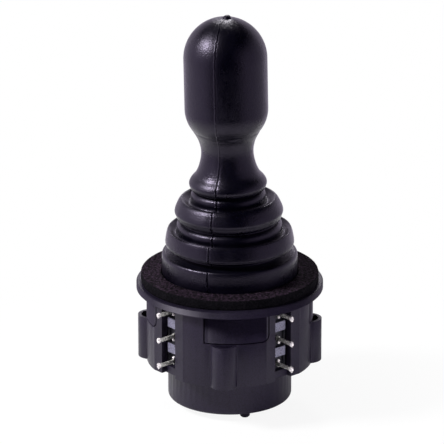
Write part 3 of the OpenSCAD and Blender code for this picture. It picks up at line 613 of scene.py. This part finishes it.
def skin(name, band, wall):
    inside = inner_face(band, wall)
    inside[0].y, inside[-1].y = band[0].y, band[-1].y
    loop = [(p.x, p.y, True) for p in band] + [(p.x, p.y, False) for p in reversed(inside)]
    return turned(name, loop, True, rubber)


def round_edges(piece, degrees=40):
    """Keeps edges sharper than the given angle crisp, and shades the rest smoothly."""
    made = bmesh.new()
    made.from_mesh(piece.data)
    bmesh.ops.recalc_face_normals(made, faces=made.faces)
    for edge in made.edges:
        edge.smooth = len(edge.link_faces) == 2 and edge.calc_face_angle(0) < math.radians(degrees)
    made.to_mesh(piece.data)
    made.free()
    return piece


# %% Collar, lower fold, upper fold and grip
collar_piece = round_edges(skin("gaiter_collar_rubber", cut(None, split_low), WALL))
lower_piece = round_edges(skin("gaiter_lower_rubber", cut(split_low, split_mid), WALL))
upper_piece = round_edges(skin("gaiter_upper_rubber", cut(split_mid, split_top), WALL))
nub = [(1.4, 0), (1.15, 0.3), (0.95, 0.55), (0.55, 0.78)]  # radius and height of its rings
NUB_SUNK = 0.02
SKIRT_H = 2.5  # the grip is hollow up to here, where the upper fold goes in
grip_loop = [(flare_r - 4, split_top + SKIRT_H, False), (flare_r - 3.2, split_top, False)]
grip_loop += [(p.x, p.y, True) for p in cut(split_top, None)]
grip_loop += [(r, dome_z + grip_r + h - NUB_SUNK, False) for r, h in nub]
grip_piece = round_edges(turned("grip_rubber", grip_loop, False, rubber))
for piece in (collar_piece, lower_piece, upper_piece, grip_piece):
    print(piece.name, len(piece.data.polygons), "faces")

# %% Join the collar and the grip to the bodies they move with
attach(collar_piece, "housing")
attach(grip_piece, "lever")
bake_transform(lower_piece)
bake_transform(upper_piece)
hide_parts("gaiter_collar")
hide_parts("gaiter_lower")
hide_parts("gaiter_upper")
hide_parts("grip")

# %% [markdown]
# ## The foam ring
# The gasket is cut from open-pored sponge rubber, so its faces are pitted and its edge isn't
# quite true. The ring is turned from a small rounded rectangle, and the points of its walls and
# its top are then pushed in by a noise.

# %% Foam gasket
FOAM_EDGE = 0.25  # rounding of the ring's edges
FOAM_STEPS = 300
FOAM_CLEAR = 0.05  # between the ring and the collar
PITS = ((0.09, 1.3), (0.05, 3.7))  # depth of the pits and how many there are to a millimetre
OUTER_WALL = 0.5  # faces that look out more than this belong to the cut edge
foam_in, foam_out = collar_r + FOAM_CLEAR, radius("panel_gasket")
foam_low, foam_high = bottom("panel_gasket"), top("panel_gasket")


def foam_section():
    """The ring's cross-section, anticlockwise from its inner lower corner."""
    def steps(low, high, count):
        return [between(low + FOAM_EDGE, high - FOAM_EDGE, i / count) for i in range(count + 1)]
    flat, rise = steps(foam_in, foam_out, 14), steps(foam_low, foam_high, 7)
    return ([(r, foam_low) for r in flat] + [(foam_out, z) for z in rise]
            + [(r, foam_high) for r in reversed(flat)] + [(foam_in, z) for z in reversed(rise)])


def foam_ring():
    section = foam_section()
    middle = Vector(((foam_in + foam_out) / 2, (foam_low + foam_high) / 2))
    vertices, faces = [], []
    for k in range(FOAM_STEPS):
        turn = 2 * math.pi * k / FOAM_STEPS
        for r, z in section:
            here = Vector((r * math.cos(turn), r * math.sin(turn), z))
            pit = sum(depth * (1 + noise.noise(here * fineness)) for depth, fineness in PITS)
            inward = (middle - Vector((r, z))).normalized() * pit
            ring_r = r + (inward.x if r in (foam_in, foam_out) else 0)
            ring_z = z + (inward.y if z == foam_high else 0)
            vertices.append((ring_r * math.cos(turn) * MM, ring_r * math.sin(turn) * MM,
                             ring_z * MM))
    count = len(section)
    for k in range(FOAM_STEPS):
        n = (k + 1) % FOAM_STEPS
        for i in range(count):
            j = (i + 1) % count
            faces.append((k * count + i, n * count + i, n * count + j, k * count + j))
    return mesh_piece("foam_gasket", vertices, faces, foam)


gasket = round_edges(foam_ring(), 60)
# Faces that look outwards get the darker copy, which paints shade on the ring's side.
gasket.data.materials.append(shaded_foam_edge)
for face in gasket.data.polygons:
    outwards = Vector(face.center).xy.normalized().dot(face.normal.xy)
    face.material_index = 1 if outwards > OUTER_WALL else 0
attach(gasket, "housing")
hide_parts("panel_gasket")
print("foam ring", len(gasket.data.polygons), "faces")

# %% [markdown]
# ## Housing and switches
# These shapes are already right in CAD, so they keep their nodes. A moulded edge is never
# perfectly sharp, though, and an edge only catches light if it has some width. The CAD mesh is
# loose triangles, so a Weld modifier joins them, a planar Decimate takes out the edges that lie
# in one plane, and a narrow Bevel then rounds only the real edges.

# %% Soften moulded edges
SAME_POINT = 0.002  # mm between points that are one
SAME_PLANE, REAL_EDGE = 0.5, 35  # degrees between two faces
HOUSING_EDGE, CASE_EDGE = 0.12, 0.08


def soften(piece, width_mm, segments=2):
    weld = piece.modifiers.new("weld", "WELD")
    weld.merge_threshold = SAME_POINT * MM
    plain = piece.modifiers.new("plain faces", "DECIMATE")
    plain.decimate_type = "DISSOLVE"
    plain.angle_limit = math.radians(SAME_PLANE)
    bevel = piece.modifiers.new("soft edges", "BEVEL")
    bevel.width = width_mm * MM
    bevel.segments = segments
    bevel.limit_method = "ANGLE"
    bevel.angle_limit = math.radians(REAL_EDGE)
    bevel.harden_normals = True
    bevel.use_clamp_overlap = True


for name in ("upper_housing", "lower_housing", "base_cap"):
    soften(finish_node(name, housing_plastic), HOUSING_EDGE)
for side in SIDES:
    soften(finish_node(f"switch_case_{side}", case_plastic), CASE_EDGE)
    finish_node(f"plunger_{side}", acetal)
print("softened edges:", [p.name for p in nodes.values() if p.modifiers.get("soft edges")])

# %% Finish the inner pieces
INNER = ((acetal, "core_plastic", ("grip_insert", "gate_plate", "actuator")),
         (steel, "steel", ("lever_shaft", "grip_pin", "lever_pin", "gimbal_ring", "gimbal_pins",
                           "base_screws")),
         (steel, "spring_steel", ("actuator_clip",)),
         (bronze, "brass", ("pivot_hub", "lever_bushes", "gimbal_bushes")))
for finish, slot_name, names in INNER:
    for name in names:
        finish_node(name, finish)
    print(slot_name, "on", ", ".join(names))

# %% [markdown]
# ## Terminals
# Each switch has three flat terminals, and each of them has kept a blob of solder on its tip.
# They repeat at one spacing, so a Geometry Nodes tree makes one blade with its blob and sets it
# on a line of points. The blobs differ a little, because solder never freezes twice alike: a
# seeded random size and a noise push their surfaces about.

# %% Start a Geometry Nodes tree
def geometry_tree(name, sizes, finishes):
    """A tree with sizes, as name: (socket kind, value), and finishes as its inputs."""
    tree = bpy.data.node_groups.new(name, "GeometryNodeTree")
    tree.interface.new_socket("Geometry", in_out="OUTPUT", socket_type="NodeSocketGeometry")
    for label, (kind, value) in sizes.items():
        tree.interface.new_socket(label, in_out="INPUT", socket_type=kind).default_value = value
    for label in finishes:
        tree.interface.new_socket(label, in_out="INPUT", socket_type="NodeSocketMaterial")
    return tree, tree.nodes.new("NodeGroupInput").outputs, tree.nodes.new("NodeGroupOutput")


# %% Parts of a terminal
def flat_bar(tree, length, width, thickness, middle, cuts):
    cube = add(tree, "GeometryNodeMeshCube", {"Size": vector(tree, length, thickness, width),
                                             "Vertices X": cuts, "Vertices Z": 3})
    moved = add(tree, "GeometryNodeTransform", {"Geometry": cube.outputs["Mesh"],
                                                "Translation": vector(tree, middle)})
    return moved.outputs[0]


def flat_blade(tree, got):
    """The terminal's stem, with a wider root where it leaves the switch."""
    stem_length = maths(tree, "SUBTRACT", got["Reach"], maths(tree, "MULTIPLY", got["Blob"], 0.6))
    stem = flat_bar(tree, stem_length, got["Width"], got["Thickness"],
                    maths(tree, "MULTIPLY", stem_length, 0.5), 8)
    root = flat_bar(tree, ROOT_LENGTH, got["Root"], got["Thickness"], 0.0, 3)
    both = add(tree, "GeometryNodeJoinGeometry")
    for part in (stem, root):
        tree.links.new(part, both.inputs[0])
    return add(tree, "GeometryNodeSetMaterial", {"Geometry": both.outputs[0],
                                                 "Material": got["Blade"]}).outputs[0]


def smooth_ball(tree, geometry, finish):
    shaded = add(tree, "GeometryNodeSetShadeSmooth", {"Geometry": geometry})
    return add(tree, "GeometryNodeSetMaterial", {"Geometry": shaded.outputs[0],
                                                 "Material": finish}).outputs[0]


def solder_blob(tree, got):
    """A ball pushed about by a noise, drawn out along the blade and set on its tip."""
    ball = add(tree, "GeometryNodeMeshIcoSphere", {"Radius": 1.0, "Subdivisions": 4})
    wave = add(tree, "ShaderNodeTexNoise", {"Scale": 1.3, "Detail": 1.0}, noise_dimensions="4D")
    push = add(tree, "ShaderNodeVectorMath", {
        0: add(tree, "GeometryNodeInputNormal").outputs[0],
        "Scale": ramp(tree, wave.outputs["Fac"], 0.3, 0.7, -LUMPY, LUMPY)}, operation="SCALE")
    shape = add(tree, "GeometryNodeSetPosition", {"Geometry": ball.outputs["Mesh"],
                                                  "Offset": push.outputs[0]})
    length, width = (maths(tree, "MULTIPLY", got["Blob"], share) for share in (0.85, 0.62))
    middle = maths(tree, "SUBTRACT", got["Reach"], maths(tree, "MULTIPLY", got["Blob"], 0.75))
    blob = add(tree, "GeometryNodeTransform", {
        "Geometry": shape.outputs[0], "Translation": vector(tree, middle),
        "Scale": vector(tree, length, width, got["Blob"])})
    return smooth_ball(tree, blob.outputs[0], got["Tip"])


def glint_beads_beside(tree, got, line):
    """A painted glint beside each terminal, as a bright bead: above the lowest, below the others.
    """
    lowest = add(tree, "FunctionNodeCompare", {2: add(tree, "GeometryNodeInputIndex").outputs[0],
                                               3: 0}, data_type="INT", operation="EQUAL")
    rise = add(tree, "GeometryNodeSwitch", {
        0: lowest.outputs[0], 1: maths(tree, "MULTIPLY", got["Rivet Drop"], -1.0),
        2: got["Rivet Drop"]}, input_type="FLOAT").outputs[0]
    places = add(tree, "GeometryNodeSetPosition", {
        "Geometry": line, "Offset": vector(tree, got["Rivet Out"], 0.0, rise)})
    head = add(tree, "GeometryNodeMeshIcoSphere", {"Radius": got["Glint Bead"], "Subdivisions": 3})
    return add(tree, "GeometryNodeInstanceOnPoints", {
        "Points": places.outputs[0],
        "Instance": smooth_ball(tree, head.outputs["Mesh"], got["Tip"])}).outputs[0]


# %% Geometry Nodes: a row of soldered terminals
TERMINAL_OUT = 6.7 * MM  # how far a terminal reaches out of its switch
ROOT_LENGTH = 1.2 * MM
LUMPY = 0.22  # how far the solder's surface is pushed, as a share of its size
SMALLEST, LARGEST = 0.9, 1.12  # the blobs' sizes beside the plain one


def row_of_terminals():
    tree, got, out = geometry_tree("soldered terminals", {
        "Count": ("NodeSocketInt", 3), "Pitch": (FLOAT, 8.1 * MM), "Reach": (FLOAT, TERMINAL_OUT),
        "Width": (FLOAT, 1.1 * MM), "Thickness": (FLOAT, 0.5 * MM), "Root": (FLOAT, 1.6 * MM),
        "Blob": (FLOAT, 0.8 * MM), "Glint Bead": (FLOAT, 0.45 * MM), "Rivet Drop": (FLOAT, 1.15 * MM),
        "Rivet Out": (FLOAT, 0.3 * MM), "Seed": ("NodeSocketInt", 1)}, ("Blade", "Tip"))
    line = add(tree, "GeometryNodeMeshLine", {
        "Count": got["Count"], "Offset": vector(tree, z=got["Pitch"]),
        "Start Location": vector(tree, z=maths(tree, "MULTIPLY", got["Pitch"], -1.0))},
        mode="OFFSET").outputs["Mesh"]
    grown = add(tree, "FunctionNodeRandomValue", {2: SMALLEST, 3: LARGEST, "Seed": got["Seed"]},
                data_type="FLOAT").outputs[1]
    rows = add(tree, "GeometryNodeJoinGeometry")
    # Painted highlight: bright beads beside the terminals' roots stand in for glints.
    tree.links.new(glint_beads_beside(tree, got, line), rows.inputs[0])
    for part, scale in ((flat_blade(tree, got), None), (solder_blob(tree, got), grown)):
        placed = add(tree, "GeometryNodeInstanceOnPoints", {"Points": line, "Instance": part})
        if scale:
            tree.links.new(vector(tree, 1.0, scale, scale), placed.inputs["Scale"])
        tree.links.new(placed.outputs[0], rows.inputs[0])
    real = add(tree, "GeometryNodeRealizeInstances", {"Geometry": rows.outputs[0]})
    tree.links.new(real.outputs[0], out.inputs[0])
    return tree


terminal_rows = row_of_terminals()
print("terminal tree of", len(terminal_rows.nodes), "nodes")

# %% Run a tree and keep its mesh
def made_by(name, tree, values, finish, place=Matrix.Identity(4)):
    """Runs a Geometry Nodes tree with the given inputs, and keeps its result as a plain mesh."""
    holder = bpy.data.objects.new(name + "_maker", bpy.data.meshes.new(name + "_maker"))
    scene.collection.objects.link(holder)
    modifier = holder.modifiers.new("maker", "NODES")
    modifier.node_group = tree
    for item in tree.interface.items_tree:
        if item.in_out == "INPUT" and item.name in values:
            modifier[item.identifier] = values[item.name]
    evaluated = holder.evaluated_get(bpy.context.evaluated_depsgraph_get())
    mesh = bpy.data.meshes.new_from_object(evaluated)
    holder.modifiers.remove(modifier)
    bpy.data.objects.remove(holder)
    mesh.transform(place)
    mesh.name = name
    for i, kept in enumerate(mesh.materials):
        if kept is None:
            mesh.materials[i] = finish
    piece = bpy.data.objects.new(name, mesh)
    scene.collection.objects.link(piece)
    return piece


# %% Set the rows on the four switches
FIRST_SEED = 3
face_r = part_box("switch_terminals_right")[1].x - TERMINAL_OUT
for i, side in enumerate(SIDES):
    low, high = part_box(f"switch_terminals_{side}")
    middle = Matrix.Translation((face_r, 0, (low.z + high.z) / 2))
    row = made_by(f"soldered_terminals_{side}", terminal_rows,
                  {"Seed": FIRST_SEED + i, "Blade": tin, "Tip": solder}, tin,
                  Matrix.Rotation(math.radians(90 * i), 4, "Z") @ middle)
    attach(row, "housing")
    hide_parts(f"switch_terminals_{side}")
    print(row.name, len(row.data.polygons), "faces", [m and m.name for m in row.data.materials])

# %% [markdown]
# ## The centring spring
# The spring sits round the lever between the housing and the actuator, so it bends over both of
# the gimbal's axes when the lever leans. Its wire follows a helix, which a Geometry Nodes tree
# sweeps with a round section. It is made in two halves.

# %% Geometry Nodes: a stretch of helix
def helix():
    tree, got, out = geometry_tree("coil stretch", {
        "Turns": (FLOAT, 1.5), "Radius": (FLOAT, 6.0 * MM), "Height": (FLOAT, 3.0 * MM),
        "Wire": (FLOAT, 0.45 * MM), "Level": (FLOAT, 0.0), "Turned": (FLOAT, 0.0)},
        ("Wire finish",))
    spiral = add(tree, "GeometryNodeCurveSpiral", {
        "Resolution": 40, "Rotations": got["Turns"], "Start Radius": got["Radius"],
        "End Radius": got["Radius"], "Height": got["Height"], "Reverse": True})
    section = add(tree, "GeometryNodeCurvePrimitiveCircle", {"Resolution": 14,
                                                             "Radius": got["Wire"]})
    wire = add(tree, "GeometryNodeCurveToMesh", {
        "Curve": spiral.outputs[0], "Profile Curve": section.outputs[0], "Fill Caps": True})
    moved = add(tree, "GeometryNodeTransform", {
        "Geometry": wire.outputs[0], "Translation": vector(tree, z=got["Level"]),
        "Rotation": vector(tree, z=got["Turned"])})
    real = add(tree, "GeometryNodeRealizeInstances", {"Geometry": moved.outputs[0]})
    finished = add(tree, "GeometryNodeSetMaterial", {"Geometry": real.outputs[0],
                                                     "Material": got["Wire finish"]})
    tree.links.new(finished.outputs[0], out.inputs[0])
    return tree


coil_tree = helix()
print("coil tree of", len(coil_tree.nodes), "nodes")

# %% Two halves of the spring
SPRING_WIRE = 0.9 * MM
SPRING_TURNS = 3
spring_low, spring_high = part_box("return_spring")
spring_r = spring_high.x - SPRING_WIRE / 2
spring_bottom, spring_top = spring_low.z + SPRING_WIRE / 2, spring_high.z - SPRING_WIRE / 2
spring_middle = (spring_bottom + spring_top) / 2
half_coil = {"Turns": SPRING_TURNS / 2, "Radius": spring_r,
             "Height": (spring_top - spring_bottom) / 2, "Wire": SPRING_WIRE / 2,
             "Wire finish": steel}
lower_coil = made_by("return_spring_lower", coil_tree, {**half_coil, "Level": spring_bottom},
                     steel)
upper_coil = made_by("return_spring_upper", coil_tree,
                     {**half_coil, "Level": spring_middle, "Turned": math.pi * SPRING_TURNS},
                     steel)
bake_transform(upper_coil)
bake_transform(lower_coil)
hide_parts("return_spring")
print("spring", len(upper_coil.data.polygons) + len(lower_coil.data.polygons), "faces")

# %% [markdown]
# ## Floor and light
# The joystick stands on a pale table top in a studio with white walls to the sides and behind
# it. Nothing white stands in front or overhead, which leaves the middle of the grip dark between
# two bands of reflected wall. The table is small, so that only the lower parts mirror it.

# %% Floor
floor_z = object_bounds()[0].z
FLOOR_RADIUS = 0.16
FLOOR_STEPS = 96
PALE = (0.9, 0.9, 0.9, 1)
MIRRORED = 0.1  # share of plain white in the floor's mirror image, the rest is lit
LIT_SHARE = 0.9  # share of plain white under the object
LIT_FROM_TO = (0.02, 0.7 * FLOOR_RADIUS)
floor_mesh = bpy.data.meshes.new("floor")
floor_mesh.from_pydata([(FLOOR_RADIUS * math.cos(2 * math.pi * k / FLOOR_STEPS),
                         FLOOR_RADIUS * math.sin(2 * math.pi * k / FLOOR_STEPS), floor_z)
                        for k in range(FLOOR_STEPS)], [], [tuple(range(FLOOR_STEPS))])
floor = bpy.data.objects.new("floor", floor_mesh)
scene.collection.objects.link(floor)
print(f"floor at {floor_z / MM:.1f} mm")

# %% [markdown]
# The camera sees the floor as plain white except near the object, where a tenth of it is lit, so
# that the shadow shows. Reflections get the lit floor, which keeps the lower parts dark.

# %% The floor's finish
pale = bpy.data.materials.new("pale floor")
pale.use_nodes = True
pale.cycles.emission_sampling = "NONE"
tree = pale.node_tree
surface = tree.nodes["Principled BSDF"]
surface.inputs["Base Color"].default_value = PALE
surface.inputs["Roughness"].default_value = 0.9
surface.inputs["Specular IOR Level"].default_value = 0.0
ray = add(tree, "ShaderNodeLightPath").outputs
mirrored = maths(tree, "MULTIPLY", ray["Is Glossy Ray"], MIRRORED)
seen = maths(tree, "MAXIMUM", ray["Is Camera Ray"], mirrored)
seen = maths(tree, "MAXIMUM", seen, ray["Is Transmission Ray"])
out_from_middle = add(tree, "ShaderNodeVectorMath",
                      {0: add(tree, "ShaderNodeTexCoord").outputs["Object"], 1: (1.0, 1.0, 0.0)},
                      operation="MULTIPLY")
distance = add(tree, "ShaderNodeVectorMath", {0: out_from_middle.outputs[0]}, operation="LENGTH")
glow = ramp(tree, distance.outputs["Value"], *LIT_FROM_TO, LIT_SHARE, 1.0)
white = add(tree, "ShaderNodeEmission", {"Strength": 1.0})
mixed_floor = add(tree, "ShaderNodeMixShader", {0: maths(tree, "MULTIPLY", seen, glow),
                                                1: surface.outputs[0], 2: white.outputs[0]})
tree.links.new(mixed_floor.outputs[0], tree.nodes["Material Output"].inputs["Surface"])
floor_mesh.materials.append(pale)


# %% Lamps
def panel(name, across, rise, toward, distance, width, height, strength):
    """A soft panel light: across to the right of the view, rise upwards, toward the viewer."""
    direction = (view_right * across + view_front * toward + Vector((0, 0, rise))).normalized()
    data = bpy.data.lights.new(name, "AREA")
    data.shape = "RECTANGLE"
    data.size, data.size_y = width, height
    data.energy = strength * math.pi * width * height
    lamp = bpy.data.objects.new(name, data)
    lamp.location = AIM + direction * distance
    lamp.rotation_mode = "QUATERNION"
    lamp.rotation_quaternion = (-direction).to_track_quat("-Z", "Y")
    scene.collection.objects.link(lamp)
    return lamp


panel("key", across=-0.74, rise=0.63, toward=0.21, distance=0.9, width=0.2, height=0.2,
      strength=95.0)
panel("top", across=0.0, rise=0.66, toward=-0.75, distance=1.0, width=0.2, height=0.2,
      strength=26.0)
fill = panel("fill", across=0.75, rise=0.12, toward=0.66, distance=1.0, width=0.6, height=0.6,
             strength=6.0)
fill.visible_glossy = False  # a soft light from the side that leaves no bright square on rubber

# %% The studio's walls
LEFT_WALL, RIGHT_WALL, BACK_WALL = 0.95, 0.55, 0.8
DARK = 0.01
SIDE_EDGES, BACK_EDGES = (0.5, 0.8), (0.3, 0.7)  # how straight at a wall a direction points
CEILING_EDGES = (0.32, 0.62)  # and how far up, where the walls end
PAINT = (1.0, 0.9, 1.12, 1)
world = bpy.data.worlds.new("studio")
world.use_nodes = True
tree = world.node_tree
looking = add(tree, "ShaderNodeTexCoord").outputs["Generated"]


def part_along(axis):
    """How far the direction that is looked in points along the axis, from -1 to 1."""
    return add(tree, "ShaderNodeVectorMath", {0: looking, 1: tuple(axis)},
               operation="DOT_PRODUCT").outputs["Value"]


walls = [ramp(tree, part_along(-view_right), *SIDE_EDGES, DARK, LEFT_WALL),
         ramp(tree, part_along(view_right), *SIDE_EDGES, DARK, RIGHT_WALL),
         ramp(tree, part_along(-view_front), *BACK_EDGES, DARK, BACK_WALL)]
room = walls[0]
for wall in walls[1:]:
    room = maths(tree, "MAXIMUM", room, wall)
below_ceiling = ramp(tree, part_along(Vector((0, 0, 1))), *CEILING_EDGES, 1, DARK)
room = maths(tree, "MULTIPLY", room, below_ceiling)
ray = add(tree, "ShaderNodeLightPath").outputs
plain_view = maths(tree, "MAXIMUM", ray["Is Camera Ray"], ray["Is Transmission Ray"])
brightness = add(tree, "ShaderNodeMix", {0: plain_view, 2: room, 3: 1.0}, data_type="FLOAT")
background = tree.nodes["Background"]
tree.links.new(mix(tree, plain_view, PAINT, (1, 1, 1, 1)), background.inputs["Color"])
tree.links.new(brightness.outputs[0], background.inputs["Strength"])
scene.world = world
scene.view_settings.view_transform = "Standard"
